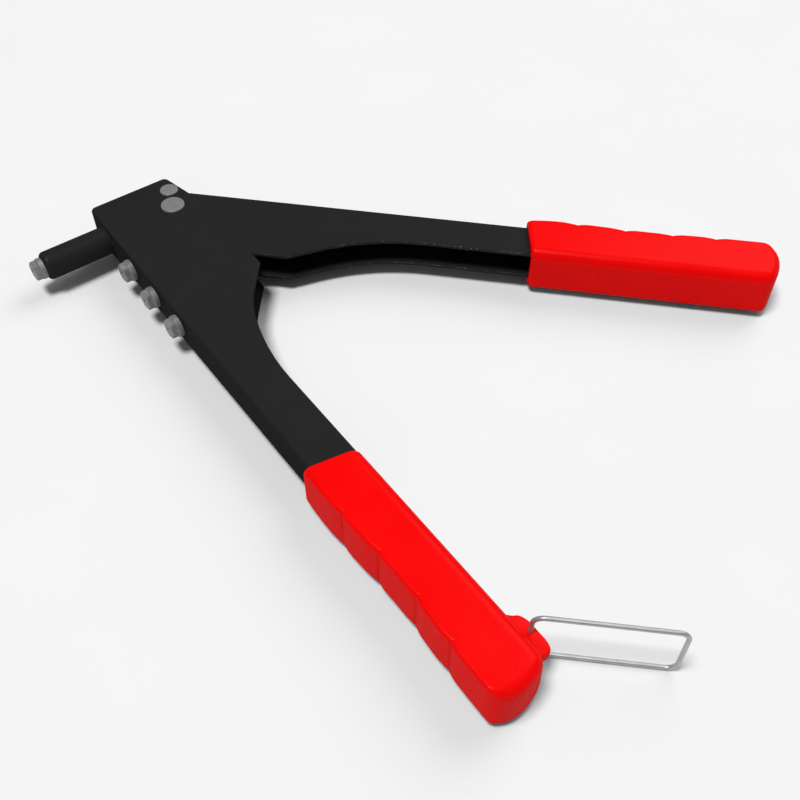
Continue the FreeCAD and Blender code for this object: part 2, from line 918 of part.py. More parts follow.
def lever_grip():
    """Moulded sleeve on the lever, in the lever's own frame."""
    body = new_body("lever_grip")
    crown_along = S.lever_grip_end + S.grip_crown
    outline = new_sketch(body, "XY_Plane")
    draw_outline(
        outline,
        [
            (S.lever_grip_front, S.lever_grip_outer, None),
            (S.lever_grip_front, -S.lever_grip_inner, None),
            (S.lever_grip_end, -S.lever_grip_inner, S.grip_corner_round),
            (crown_along, S.lever_grip_outer - S.grip_crown_in, S.grip_crown_round),
            (S.lever_grip_end, S.lever_grip_outer, S.grip_corner_round),
        ],
    )
    pad(body, outline, S.grip_thickness)
    round_grip(body, "x", S.lever_grip_front)
    socket = new_sketch(body, "XY_Plane")
    draw_outline(
        socket,
        box_corners(S.lever_grip_front - BEYOND, -S.lever_inner, S.lever_end, S.lever_outer),
    )
    pocket(body, socket, S.lever_width)
    place_on_lever(body)


def bail():
    """U of round wire; both ends turn inwards into the lug's hole and meet short of each other."""
    body = new_body("bail")
    half = S.bail_spacing / 2
    path = new_sketch(body, "XZ_Plane")
    draw_outline(
        path,
        [
            (ZERO, S.bail_leg, None),
            (ZERO, half, S.bail_bend),
            (S.bail_reach, half, S.bail_bend),
            (S.bail_reach, -half, S.bail_bend),
            (ZERO, -half, S.bail_bend),
            (ZERO, -S.bail_leg, None),
        ],
        closed=False,
    )
    section = new_sketch(body, "XY_Plane", S.bail_leg)
    draw_circle(section, ZERO, ZERO, S.bail_wire)
    document.recompute()
    sweep = body.newObject("PartDesign::AdditivePipe", "bail_sweep")
    sweep.Profile = section
    sweep.Spine = (path, [])
    document.recompute()
    place(body, S.bail_x, S.bail_y, ZERO, angle=-S.bail_angle)


# ---------------------------------------------------------------- assembly and output


def build_all():
    body_channel()
    headed_pin("fulcrum_pin", S.fulcrum_x, S.fulcrum_y, S.fulcrum_radius, S.fulcrum_head, S.fulcrum_crown)
    headed_pin("stop_pin", S.stop_x, S.stop_y, S.stop_radius, S.stop_head, S.stop_crown)
    retaining_clip("fulcrum_clip", S.fulcrum_x, S.fulcrum_y, S.fulcrum_radius)
    retaining_clip("stop_clip", S.stop_x, S.stop_y, S.stop_radius)
    barrel()
    barrel_nut()
    barrel_plug()
    nosepiece("nosepiece", S.bore_fitted, ZERO, ZERO)
    for (word, bore), y in zip(SPARES, spare_places()):
        nosepiece(f"spare_nosepiece_{word}", bore, S.web_front - NOSE_HEIGHT, y)
    coil_spring(
        "return_spring",
        S.rod_head_rear,
        S.barrel_rear - S.plug_length,
        S.return_wire,
        S.return_mean,
        S.return_turns,
    )
    lever_channel()
    jaw_case()
    jaw("jaw_upper", turned=False)
    jaw("jaw_lower", turned=True)
    jaw_pusher()
    coil_spring(
        "jaw_spring",
        S.pusher_rear,
        S.rod_front,
        S.jaw_spring_wire,
        S.jaw_spring_mean,
        S.jaw_spring_turns,
    )
    pull_rod()
    lock_ring()
    pull_pin()
    fixed_grip()
    lever_grip()
    bail()
    document.recompute()


def check_all():
    """Stops before anything is written if any object failed or any sub-part isn't sound."""
    for item in document.Objects:
        failed = [state for state in item.State if state in ("Invalid", "Error")]
        if failed:
            raise RuntimeError(f"{item.Name} is {failed}")
    for item in subparts:
        if item.Shape.isNull() or not item.Shape.isValid():
            raise RuntimeError(f"{item.Label} has no valid shape")
        if len(item.Shape.Solids) != 1:
            raise RuntimeError(f"{item.Label} has {len(item.Shape.Solids)} solids")


def write_all():
    os.makedirs(OUTPUT_FOLDER, exist_ok=True)
    for item in subparts:
        item.Shape.exportStep(os.path.join(OUTPUT_FOLDER, f"{item.Label}.step"))


build_all()
check_all()
write_all()
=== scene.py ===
import json
import math

import bmesh
import bpy
import numpy as np
from mathutils import Matrix, Vector

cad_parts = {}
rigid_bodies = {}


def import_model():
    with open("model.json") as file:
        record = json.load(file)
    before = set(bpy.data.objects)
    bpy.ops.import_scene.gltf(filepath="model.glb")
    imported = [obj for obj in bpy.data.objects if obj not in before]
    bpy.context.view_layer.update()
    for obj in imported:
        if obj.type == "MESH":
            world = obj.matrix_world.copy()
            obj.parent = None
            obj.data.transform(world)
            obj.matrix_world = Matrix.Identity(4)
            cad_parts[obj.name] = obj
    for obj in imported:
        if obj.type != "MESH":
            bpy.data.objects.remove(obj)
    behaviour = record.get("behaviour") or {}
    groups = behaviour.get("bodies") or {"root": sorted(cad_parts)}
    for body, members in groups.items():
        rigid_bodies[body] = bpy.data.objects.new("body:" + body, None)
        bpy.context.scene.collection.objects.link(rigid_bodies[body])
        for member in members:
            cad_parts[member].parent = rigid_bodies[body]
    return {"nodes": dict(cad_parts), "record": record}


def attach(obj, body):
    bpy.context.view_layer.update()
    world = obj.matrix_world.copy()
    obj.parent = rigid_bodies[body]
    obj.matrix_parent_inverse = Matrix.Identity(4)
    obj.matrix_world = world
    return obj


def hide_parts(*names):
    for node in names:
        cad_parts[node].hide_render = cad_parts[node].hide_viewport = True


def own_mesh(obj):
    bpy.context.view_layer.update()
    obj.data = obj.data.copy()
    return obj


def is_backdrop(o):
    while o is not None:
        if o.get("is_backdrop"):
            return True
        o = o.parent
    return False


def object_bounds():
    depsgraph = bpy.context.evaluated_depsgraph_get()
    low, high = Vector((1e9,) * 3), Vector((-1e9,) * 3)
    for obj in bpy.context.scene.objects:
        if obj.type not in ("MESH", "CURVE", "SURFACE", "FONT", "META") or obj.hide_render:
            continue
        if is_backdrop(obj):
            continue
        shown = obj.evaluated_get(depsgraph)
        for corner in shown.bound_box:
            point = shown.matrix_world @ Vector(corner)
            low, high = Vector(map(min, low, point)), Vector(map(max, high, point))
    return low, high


# The hand riveter's looks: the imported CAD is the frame, the two moulded grips are built here,
# and every shown surface gets a node material. Metres throughout.

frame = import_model()
cad_low, cad_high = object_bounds()
nodes = frame["nodes"]

MM = 0.001
BEVEL_SAMPLES = 6
FLAT_COSINE = 0.995
EDGE_COSINE = 0.90


# ---------------------------------------------------------------- shader helpers


class Shader:
    """A material being wired up: each call adds a node and returns the socket it gives."""

    def __init__(self, name):
        self.material = bpy.data.materials.new(name)
        self.material.use_nodes = True
        self.tree = self.material.node_tree
        self.tree.nodes.clear()
        self.output = self.tree.nodes.new("ShaderNodeOutputMaterial")
        self.place = self.tree.nodes.new("ShaderNodeTexCoord").outputs["Object"]

    def node(self, kind, result, settings=None, **inputs):
        """Adds a node of a kind, feeds its named inputs and gives one of its outputs."""
        made = self.tree.nodes.new(f"ShaderNode{kind}")
        for key, value in (settings or {}).items():
            setattr(made, key, value)
        for key, value in inputs.items():
            self.feed(made.inputs[key.replace("_", " ")], value)
        return made.outputs[result]

    def feed(self, socket, value):
        if isinstance(value, bpy.types.NodeSocket):
            self.tree.links.new(value, socket)
        else:
            socket.default_value = value

    def noise(self, per_metre, detail=3.0, roughness=0.55, stretch=None, result="Fac"):
        """Noise of a given number of features per metre, in the piece's own coordinates."""
        place = self.place
        if stretch is not None:
            place = self.node("Mapping", "Vector", Vector=place, Scale=stretch)
        return self.node(
            "TexNoise", result, Vector=place, Scale=per_metre, Detail=detail, Roughness=roughness
        )

    def ramp(self, value, low, high, start=0.0, end=1.0):
        """Maps low..high to start..end, held at both ends."""
        return self.node(
            "MapRange",
            "Result",
            {"clamp": True},
            Value=value,
            From_Min=low,
            From_Max=high,
            To_Min=start,
            To_Max=end,
        )

    def math(self, operation, first, second):
        made = self.tree.nodes.new("ShaderNodeMath")
        made.operation = operation
        self.feed(made.inputs[0], first)
        self.feed(made.inputs[1], second)
        return made.outputs[0]

    def mix(self, share, first, second):
        """Blends two colours."""
        made = self.tree.nodes.new("ShaderNodeMix")
        made.data_type = "RGBA"
        self.feed(made.inputs[0], share)
        self.feed(made.inputs[6], first)
        self.feed(made.inputs[7], second)
        return made.outputs[2]

    def bump(self, height, depth, normal=None):
        """The normal of a surface raised by height times depth, in metres."""
        made = self.tree.nodes.new("ShaderNodeBump")
        made.inputs["Strength"].default_value = 1.0
        made.inputs["Distance"].default_value = depth
        self.feed(made.inputs["Height"], height)
        if normal is not None:
            self.feed(made.inputs["Normal"], normal)
        return made.outputs["Normal"]

    def soft_edges(self, radius):
        """The normal of a surface whose sharp edges are rounded to a radius."""
        made = self.tree.nodes.new("ShaderNodeBevel")
        made.samples = BEVEL_SAMPLES
        made.inputs["Radius"].default_value = radius
        return made.outputs["Normal"]

    def edge_mask(self, radius):
        """1 on sharp outer and inner edges, falling to 0 one radius away."""
        rounded = self.soft_edges(radius)
        plain = self.node("NewGeometry", "Normal")
        made = self.tree.nodes.new("ShaderNodeVectorMath")
        made.operation = "DOT_PRODUCT"
        self.feed(made.inputs[0], rounded)
        self.feed(made.inputs[1], plain)
        return self.ramp(made.outputs["Value"], FLAT_COSINE, EDGE_COSINE)

    def finish(self, **inputs):
        """The material, with a principled surface fed by the given inputs."""
        surface = self.tree.nodes.new("ShaderNodeBsdfPrincipled")
        for key, value in inputs.items():
            self.feed(surface.inputs[key.replace("_", " ")], value)
        self.feed(self.output.inputs["Surface"], surface.outputs["BSDF"])
        return self.material


def grey(level, warmth=0.0):
    return (level * (1 + warmth), level, level * (1 - warmth), 1.0)


# ---------------------------------------------------------------- materials


def black_paint():
    """Semi-gloss baked enamel: fine orange peel, faint mottling, edges rubbed to bare steel and
    lightened partly as painted highlights.
    """
    shader = Shader("black_paint")
    mottle = shader.noise(45.0, detail=4.0)
    cloud = shader.noise(9.0, detail=2.0)
    grain = shader.noise(5200.0, detail=2.0)
    peel = shader.noise(1400.0, detail=2.0, roughness=0.4)
    tone = shader.math("MULTIPLY", shader.math("ADD", mottle, cloud), 0.5)
    darkest = (0.0156, 0.0157, 0.0162, 1)
    lightest = (0.0191, 0.0192, 0.0197, 1)
    colour = shader.mix(shader.ramp(tone, 0.3, 0.7), darkest, lightest)
    # Broken marks along the edges: partly wear to bare steel, partly painted highlight, their pale
    # grey chosen to give thin highlights along the edges.
    chips = shader.ramp(shader.noise(700.0, detail=5.0, roughness=0.7), 0.54, 0.62)
    wear_and_painted_glint = shader.math("MULTIPLY", shader.edge_mask(0.35 * MM), chips)
    wear_and_painted_glint = shader.math("MULTIPLY", wear_and_painted_glint, 0.75)
    colour = shader.mix(wear_and_painted_glint, colour, grey(0.3))
    dust = shader.ramp(shader.noise(2600.0, detail=4.0, roughness=0.75), 0.66, 0.78, 0.0, 0.35)
    colour = shader.mix(dust, colour, grey(0.05, 0.04))
    rough = shader.ramp(mottle, 0.25, 0.75, 0.27, 0.36)
    rough = shader.math("ADD", rough, shader.math("MULTIPLY", grain, 0.05))
    height = shader.math("ADD", peel, shader.math("MULTIPLY", grain, 0.25))
    normal = shader.bump(height, 0.012 * MM, shader.soft_edges(0.3 * MM))
    return shader.finish(
        Base_Color=colour,
        Roughness=rough,
        Metallic=shader.math("MULTIPLY", wear_and_painted_glint, 0.8),
        Specular_IOR_Level=0.0,
        Normal=normal,
        Coat_Weight=0.014,
        Coat_IOR=4.0,
        Coat_Roughness=rough,
        Coat_Normal=normal,
    )


def plated_steel():
    """Turned steel under dull zinc: rings from the tool, cloudy plating, small bright scuffs."""
    shader = Shader("plated_steel")
    cloud = shader.noise(420.0, detail=4.0)
    rings = shader.noise(900.0, detail=3.0, roughness=0.7, stretch=(9.0, 0.6, 0.6))
    pits = shader.noise(2300.0, detail=3.0, roughness=0.7)
    colour = shader.mix(shader.ramp(cloud, 0.3, 0.72), grey(0.19), grey(0.29))
    colour = shader.mix(shader.ramp(pits, 0.5, 0.66, 0.0, 0.5), colour, grey(0.14))
    scuffs = shader.ramp(shader.noise(1300.0, detail=5.0, roughness=0.75), 0.58, 0.66)
    edge = shader.edge_mask(0.3 * MM)
    burnished = shader.math("MULTIPLY", edge, 0.5)
    scuffed = shader.math("MULTIPLY", scuffs, 0.3)
    bright = shader.math("MAXIMUM", burnished, scuffed)
    colour = shader.mix(bright, colour, grey(0.5))
    rough = shader.ramp(cloud, 0.25, 0.75, 0.46, 0.62)
    rough = shader.math("SUBTRACT", rough, shader.math("MULTIPLY", bright, 0.12))
    height = shader.math("ADD", rings, shader.math("MULTIPLY", scuffs, 0.35))
    normal = shader.bump(height, 0.018 * MM, shader.soft_edges(0.25 * MM))
    return shader.finish(Base_Color=colour, Metallic=0.35, Roughness=rough, Normal=normal)


def pin_steel():
    """Cold-headed steel: an even grey with a fine peened grain and a burnished rim."""
    shader = Shader("pin_steel")
    grain = shader.noise(2400.0, detail=4.0, roughness=0.65)
    cloud = shader.noise(260.0, detail=3.0)
    colour = shader.mix(shader.ramp(cloud, 0.3, 0.7), grey(0.20), grey(0.235))
    colour = shader.mix(shader.ramp(grain, 0.5, 0.68, 0.0, 0.4), colour, grey(0.16))
    edge = shader.math("MULTIPLY", shader.edge_mask(0.4 * MM), 0.4)
    colour = shader.mix(edge, colour, grey(0.4))
    rough = shader.ramp(grain, 0.3, 0.7, 0.30, 0.42)
    normal = shader.bump(grain, 0.010 * MM, shader.soft_edges(0.25 * MM))
    return shader.finish(
        Base_Color=colour, Metallic=0.15, Roughness=rough, Specular_IOR_Level=0.3, Normal=normal
    )


def dark_steel():
    """Hardened steel, blackened and oiled."""
    shader = Shader("dark_steel")
    cloud = shader.noise(300.0, detail=4.0)
    grain = shader.noise(2600.0, detail=3.0)
    darkest = (0.045, 0.043, 0.042, 1)
    lightest = (0.085, 0.083, 0.085, 1)
    colour = shader.mix(shader.ramp(cloud, 0.3, 0.7), darkest, lightest)
    edge = shader.math("MULTIPLY", shader.edge_mask(0.2 * MM), 0.6)
    colour = shader.mix(edge, colour, grey(0.3))
    rough = shader.ramp(grain, 0.3, 0.7, 0.28, 0.42)
    normal = shader.bump(grain, 0.008 * MM, shader.soft_edges(0.15 * MM))
    return shader.finish(Base_Color=colour, Metallic=0.9, Roughness=rough, Normal=normal)


def spring_steel():
    """Drawn wire and strip, straw grey, with drawing lines and a thin oil film."""
    shader = Shader("spring_steel")
    cloud = shader.noise(350.0, detail=3.0)
    lines = shader.noise(1800.0, detail=3.0, roughness=0.7)
    colour = shader.mix(shader.ramp(cloud, 0.3, 0.7), grey(0.22, 0.05), grey(0.36, 0.03))
    rough = shader.ramp(lines, 0.3, 0.7, 0.22, 0.38)
    normal = shader.bump(lines, 0.006 * MM)
    return shader.finish(Base_Color=colour, Metallic=1.0, Roughness=rough, Normal=normal)


def bail_wire():
    """Zinc-plated wire: pale grey, soft sheen, a few duller patches."""
    shader = Shader("bail_wire")
    cloud = shader.noise(160.0, detail=4.0)
    grain = shader.noise(2800.0, detail=3.0)
    colour = shader.mix(shader.ramp(cloud, 0.32, 0.7), grey(0.40, -0.02), grey(0.51, -0.02))
    dull = shader.ramp(shader.noise(90.0, detail=5.0, roughness=0.7), 0.56, 0.68, 0.0, 0.5)
    colour = shader.mix(dull, colour, grey(0.34))
    rough = shader.ramp(grain, 0.3, 0.7, 0.3, 0.44)
    rough = shader.math("ADD", rough, shader.math("MULTIPLY", dull, 0.25))
    normal = shader.bump(grain, 0.008 * MM)
    return shader.finish(Base_Color=colour, Metallic=0.6, Roughness=rough, Normal=normal)


def red_vinyl():
    """Glossy moulded vinyl: saturated red, a soft mould texture, faint flow marks and dust."""
    shader = Shader("red_vinyl")
    flow = shader.noise(38.0, detail=4.0, roughness=0.5)
    grain = shader.noise(2100.0, detail=2.0, roughness=0.5)
    ripple = shader.noise(160.0, detail=2.0, roughness=0.4)
    deep = (0.85, 0.0014, 0.0014, 1)
    bright = (0.89, 0.0022, 0.0021, 1)
    colour = shader.mix(shader.ramp(flow, 0.3, 0.72), deep, bright)
    dust = shader.ramp(shader.noise(3200.0, detail=4.0, roughness=0.8), 0.70, 0.80, 0.0, 0.12)
    colour = shader.mix(dust, colour, (0.75, 0.03, 0.027, 1))
    # In bounced light the grips are nearly grey, so that the table beside them stays neutral.
    bounced = shader.node("LightPath", "Is Diffuse Ray")
    colour = shader.mix(bounced, colour, (0.21, 0.185, 0.185, 1))
    rough = shader.ramp(flow, 0.3, 0.7, 0.24, 0.31)
    height = shader.math("ADD", shader.math("MULTIPLY", grain, 0.25), ripple)
    normal = shader.bump(height, 0.012 * MM)
    return shader.finish(
        Base_Color=colour,
        Roughness=rough,
        Specular_IOR_Level=0.0,
        Normal=normal,
        Coat_Weight=0.12,
        Coat_Roughness=rough,
        Coat_Normal=normal,
    )


MATERIALS = {
    "black_paint": black_paint(),
    "plated_steel": plated_steel(),
    "pin_steel": pin_steel(),
    "dark_steel": dark_steel(),
    "spring_steel": spring_steel(),
    "bail_wire": bail_wire(),
    "red_vinyl": red_vinyl(),
}

for part in frame["record"]["subparts"]:
    finish = MATERIALS[part["material_slot"]]
    mesh = nodes[part["node"]].data
    mesh.materials.clear()
    mesh.materials.append(finish)


# ---------------------------------------------------------------- grips

INNER_EDGE = 4.5 * MM
FOOT_EDGE = 3.0 * MM
FINGER_EDGE = 1.3 * MM
MOUTH_EDGE = 1.5 * MM
MOUTH_CORNER = 3.6 * MM
MOUTH_FADE = 14.0 * MM
END_EDGE = 4.2 * MM
END_FOOT = 1.6 * MM
SOCKET_EDGE = 0.8 * MM
LEAST_EDGE = 0.3 * MM
SHARP_ANGLE = 35.0
WALL = 1.6 * MM
ROUNDEST = 0.98
SIDE_STEPS = 8
CORNER_STEPS = 8
FACE_STEPS = 20
ALONG_STEPS = 110
MOUTH_STEPS = 6
END_STEPS = 9
LINE_STEPS = 8
# The sizes of the rings on the socket's bottom and on the end, as shares of their rims.
SOCKET_CAP = (0.1, 0.5)
END_CAP = (0.8, 0.6, 0.4, 0.2, 0.06)
# Where the rings of the socket's wall stand, as shares of its depth.
SOCKET_ROWS = (1.0, 0.75, 0.5, 0.25, 0.0)


def rounded_loop(low, high, half, low_radius, high_radius, foot_radius):
    """Points of a rounded rectangle, counted the same way whatever its size.

    low and high are the inner and finger sides, half is half the thickness. The loop starts in
    the middle of the finger side and runs over the +thickness face first. foot_radius rounds the
    inner side's lower edge.
    """
    limit = min(half, (high - low) / 2) * ROUNDEST
    low_radius = min(low_radius, limit)
    high_radius = min(high_radius, limit)
    foot_radius = min(foot_radius, limit)
    points = []

    def corner(radius, side, centre_up, start):
        for step in range(CORNER_STEPS):
            angle = start + math.pi / 2 * step / CORNER_STEPS
            points.append((side + radius * math.cos(angle), centre_up + radius * math.sin(angle)))

    def line(first, last, count):
        run, rise = last[0] - first[0], last[1] - first[1]
        for step in range(count):
            share = step / count
            points.append((first[0] + run * share, first[1] + rise * share))

    high_flat, low_flat, foot_flat = half - high_radius, half - low_radius, half - foot_radius
    high_centre, low_centre, foot_centre = high - high_radius, low + low_radius, low + foot_radius
    line((high, 0.0), (high, high_flat), SIDE_STEPS)
    corner(high_radius, high_centre, high_flat, 0.0)
    line((high_centre, half), (low_centre, half), FACE_STEPS)
    corner(low_radius, low_centre, low_flat, math.pi / 2)
    line((low, low_flat), (low, -foot_flat), 2 * SIDE_STEPS)
    corner(foot_radius, foot_centre, -foot_flat, math.pi)
    line((foot_centre, -half), (high_centre, -half), FACE_STEPS)
    corner(high_radius, high_centre, -high_flat, 3 * math.pi / 2)
    line((high, -high_flat), (high, 0.0), SIDE_STEPS)
    return np.array(points)


class Grip:
    """A moulded sleeve in its own frame: along from mouth to end, across to the finger side, up."""

    SLANT = 3.8 * MM
    SLANT_SHARE = 0.25
    MOUTH_LEAD = 0.4 * MM
    END_RISE = 3.2 * MM
    END_SHARE = 0.2
    END_INNER_DROP = 0.8 * MM
    END_PEAK = 8.2 * MM
    NOTCH_BEFORE = 7.0 * MM
    NOTCH_AFTER = 4.5 * MM
    NOTCH_SHARPNESS = 1.6
    LINE_DEPTH = 0.2 * MM
    LINE_REACH = 0.8 * MM
    LINE_STEP = 0.25 * MM
    DIMPLE_DEPTH = 0.5 * MM
    DIMPLE_REACH = 3.4 * MM

    def __init__(self, length, low, high, half, socket, notches, notch_depth, waist):
        self.length = length
        self.low = low
        self.high = high
        self.half = half
        self.socket = socket
        self.notches = notches
        self.notch_depth = notch_depth
        self.waist = waist

    def notch(self, along):
        """1 in the bottom of a notch between two finger swells, falling to 0 beside it."""
        best = 0.0
        for place in self.notches:
            reach = self.NOTCH_BEFORE if along < place else self.NOTCH_AFTER
            best = max(best, 1 - abs(along - place) / reach)
        return best ** self.NOTCH_SHARPNESS

    def side(self, along):
        """How far the finger side stands in from a straight line."""
        centre, reach, depth = self.waist
        share = (along - centre) / reach
        return depth * math.exp(-share * share) + self.notch_depth * self.notch(along)

    def line(self, along):
        """Depth of the fine line in the bottom of each notch."""
        near = min(abs(along - place) for place in self.notches)
        return self.LINE_DEPTH * max(0.0, 1 - near / self.LINE_REACH)

    def mouth(self, points):
        """How far the slanted mouth stands back at each point: most at the inner side."""
        return self.SLANT * (self.high - points[:, 0]) / (self.high - self.low)

    def end(self, points):
        """How far the end stands out beyond its finger-side corner, as a broad arc."""
        across = points[:, 0]
        peak = self.high - self.END_PEAK
        outer = (across - peak) / self.END_PEAK
        inner = (peak - across) / (peak - self.low)
        inner_drop = 1 + self.END_INNER_DROP / self.END_RISE
        fall = np.where(across > peak, outer ** 2, inner ** 2 * inner_drop)
        return self.END_RISE * (1 - fall)

    def outside(self, along, inset):
        """The outer section at a distance from the mouth, drawn in by inset."""
        high = self.high - self.side(along)
        fresh = max(0.0, 1 - along / MOUTH_FADE) ** 2
        finger_edge = FINGER_EDGE + (MOUTH_CORNER - FINGER_EDGE) * fresh
        points = rounded_loop(
            self.low + inset,
            high - inset,
            self.half - inset,
            max(INNER_EDGE - inset, LEAST_EDGE),
            max(finger_edge - inset, LEAST_EDGE),
            max(FOOT_EDGE - inset, LEAST_EDGE),
        )
        near = np.clip(1 - (high - points[:, 0]) / self.DIMPLE_REACH, 0, 1) ** 2
        points[:, 1] *= 1 - self.DIMPLE_DEPTH / self.half * near * self.notch(along)
        points[:, 0] -= self.line(along) * near
        return points

    def stations(self):
        """Where the sections stand: evenly spaced, and closer together round each notch's line."""
        first = MOUTH_EDGE + self.MOUTH_LEAD
        stops = set(np.linspace(first, self.length - END_EDGE, ALONG_STEPS))
        for place in self.notches:
            around = range(-LINE_STEPS, LINE_STEPS + 1)
            stops.update(place + step * self.LINE_STEP for step in around)
        return sorted(stops)


def shrunk(points, share):
    """A loop drawn towards the middle of its own box."""
    middle = (points.min(0) + points.max(0)) / 2
    return middle + (points - middle) * share


def grip_loops(grip):
    """Loops of one closed skin: socket's end, socket, mouth rim, outside, rounded end."""
    loops = []

    def add(along, points):
        loops.append(np.column_stack((np.broadcast_to(along, len(points)), points)))

    low, high, half, depth = grip.socket
    inner = rounded_loop(low, high, half, SOCKET_EDGE, SOCKET_EDGE, SOCKET_EDGE)
    for share in SOCKET_CAP:
        add(depth, shrunk(inner, share))
    for share in SOCKET_ROWS:
        add(depth * share + grip.mouth(inner) * (1 - share), inner)
    for step in range(MOUTH_STEPS + 1):
        angle = math.pi / 2 * step / MOUTH_STEPS
        outline = grip.outside(0.0, MOUTH_EDGE * (1 - math.sin(angle)))
        add(grip.mouth(outline) + MOUTH_EDGE * (1 - math.cos(angle)), outline)
    last = grip.length - END_EDGE
    for along in grip.stations():
        outline = grip.outside(along, 0.0)
        slant = grip.mouth(outline) * max(0.0, 1 - along / last / grip.SLANT_SHARE)
        push = grip.end(outline) * max(0.0, 1 - (1 - along / last) / grip.END_SHARE)
        add(along + slant + push, outline)
    # The end's upper edge is rounded fully, and its lower edge much less.
    straight = grip.outside(last, 0.0)
    height = np.clip(0.5 + straight[:, 1] / (2 * grip.half), 0, 1)
    radius = END_FOOT + (END_EDGE - END_FOOT) * height ** 2
    for step in range(1, END_STEPS + 1):
        angle = math.pi / 2 * step / END_STEPS
        inset = grip.outside(last, END_EDGE * (1 - math.cos(angle)))
        rim = straight + (inset - straight) * (radius / END_EDGE)[:, None]
        add(grip.length - radius * (1 - math.sin(angle)) + grip.end(rim), rim)
    for share in END_CAP:
        outline = shrunk(rim, share)
        add(grip.length + grip.end(outline), outline)
    return loops


def skin(name, loops, to_frame):
    """A closed mesh through matching loops of points, capped at both ends."""
    bm = bmesh.new()
    rows = [[bm.verts.new(to_frame @ Vector(point)) for point in loop] for loop in loops]
    for first, second in zip(rows, rows[1:]):
        for n in range(len(first)):
            following = (n + 1) % len(first)
            bm.faces.new((first[n], first[following], second[following], second[n]))
    bm.faces.new(list(reversed(rows[0])))
    bm.faces.new(rows[-1])
    bmesh.ops.recalc_face_normals(bm, faces=bm.faces)
    mesh = bpy.data.meshes.new(name)
    bm.to_mesh(mesh)
    bm.free()
    mesh.shade_smooth()
    mesh.materials.append(MATERIALS["red_vinyl"])
    item = bpy.data.objects.new(name, mesh)
    bpy.context.scene.collection.objects.link(item)
    return item


def moulding(name, grip, to_frame, body, node):
    """A grip's skin, riding on its body in place of the plain grip."""
    item = skin(name, grip_loops(grip), to_frame)
    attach(item, body)
    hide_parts(node)
    return item


def joint_named(name):
    """The record's entry for a joint."""
    return next(joint for joint in frame["record"]["behaviour"]["joints"] if joint["name"] == name)


def extent(node, to_local):
    """Lowest and highest corner of a node in another frame."""
    points = np.array([to_local @ vertex.co for vertex in nodes[node].data.vertices])
    return points.min(0), points.max(0)


# The lug's outline in millimetres, from the grip's inner side and its end corner.
LUG_OUTLINE = (
    (-0.5, 21.2),
    (1.6, 20.3),
    (2.9, 19.0),
    (4.6, 17.8),
    (5.6, 15.6),
    (5.9, 13.2),
    (5.9, 9.5),
    (5.8, 6.3),
    (5.2, 4.0),
    (4.2, 3.1),
    (2.7, 2.9),
    (1.1, 3.2),
    (-0.5, 3.9),
)
LUG_STEPS = 6
LUG_HALF = 2.75 * MM
LUG_EDGE = 0.7 * MM
LUG_HOLE_RADIUS = 0.9 * MM
# The lug's rim from bottom to top: height as a share of its half, and inset as a share of its edge.
LUG_RIM = (
    (-1.0, 1.5),
    (-0.9, 1.0),
    (-0.65, 0.4),
    (-0.3, 0.05),
    (0.75, 0.0),
    (0.9, 0.12),
    (0.98, 0.5),
    (1.0, 1.0),
)


def spline(corners, steps):
    """A closed smooth curve through a ring of corners."""
    points = []
    count = len(corners)
    for n in range(count):
        before, start, end, after = (np.array(corners[(n + k) % count]) for k in (-1, 0, 1, 2))
        for step in range(steps):
            t = step / steps
            points.append(
                0.5
                * (
                    2 * start
                    + (end - before) * t
                    + (2 * before - 5 * start + 4 * end - after) * t ** 2
                    + (3 * start - before - 3 * end + after) * t ** 3
                )
            )
    return np.array(points)


def lug(side_x, end_y):
    """A rounded flange standing out from the grip's inner side, near its end."""
    outline = spline(LUG_OUTLINE, LUG_STEPS) * MM
    middle = outline.mean(0)
    reach = np.linalg.norm(outline - middle, axis=1)[:, None]
    loops = []
    for height, inset in LUG_RIM:
        ring = middle + (outline - middle) * (1 - inset * LUG_EDGE / reach)
        loops.append([(side_x + x, end_y + y, height * LUG_HALF) for x, y in ring])
    return skin("lug", loops, Matrix.Identity(4))


def lug_hole(place):
    """A cutter for the hole the bail's legs turn in."""
    bm = bmesh.new()
    bmesh.ops.create_cone(
        bm,
        cap_ends=True,
        segments=32,
        radius1=LUG_HOLE_RADIUS,
        radius2=LUG_HOLE_RADIUS,
        depth=4 * LUG_HALF,
    )
    bmesh.ops.translate(bm, verts=bm.verts, vec=place)
    mesh = bpy.data.meshes.new("lug_hole")
    bm.to_mesh(mesh)
    bm.free()
    item = bpy.data.objects.new("lug_hole", mesh)
    bpy.context.scene.collection.objects.link(item)
    return item


def combine(item, tool, operation):
    """Joins a tool mesh to a piece, or cuts it away, and drops the tool."""
    cut = item.modifiers.new("combine", "BOOLEAN")
    cut.operation = operation
    cut.solver = "EXACT"
    cut.object = tool
    depsgraph = bpy.context.evaluated_depsgraph_get()
    made = bpy.data.meshes.new_from_object(item.evaluated_get(depsgraph))
    made.shade_smooth()
    made.set_sharp_from_angle(angle=math.radians(SHARP_ANGLE))
    item.modifiers.clear()
    item.data = made
    bpy.data.objects.remove(tool)


GRIP_LENGTH = 99.4 * MM
NOTCH_DEPTH = 0.5 * MM

# The fixed grip runs towards -Y with its finger side at -X.
low, high = extent("fixed_grip", Matrix.Identity(4))
body_low, body_high = extent("body_channel", Matrix.Identity(4))
mouth_y = high[1]
fixed_frame = Matrix(((0, -1, 0, 0), (-1, 0, 0, mouth_y), (0, 0, 1, 0), (0, 0, 0, 1)))
FIXED_WIDTH = 21.0 * MM
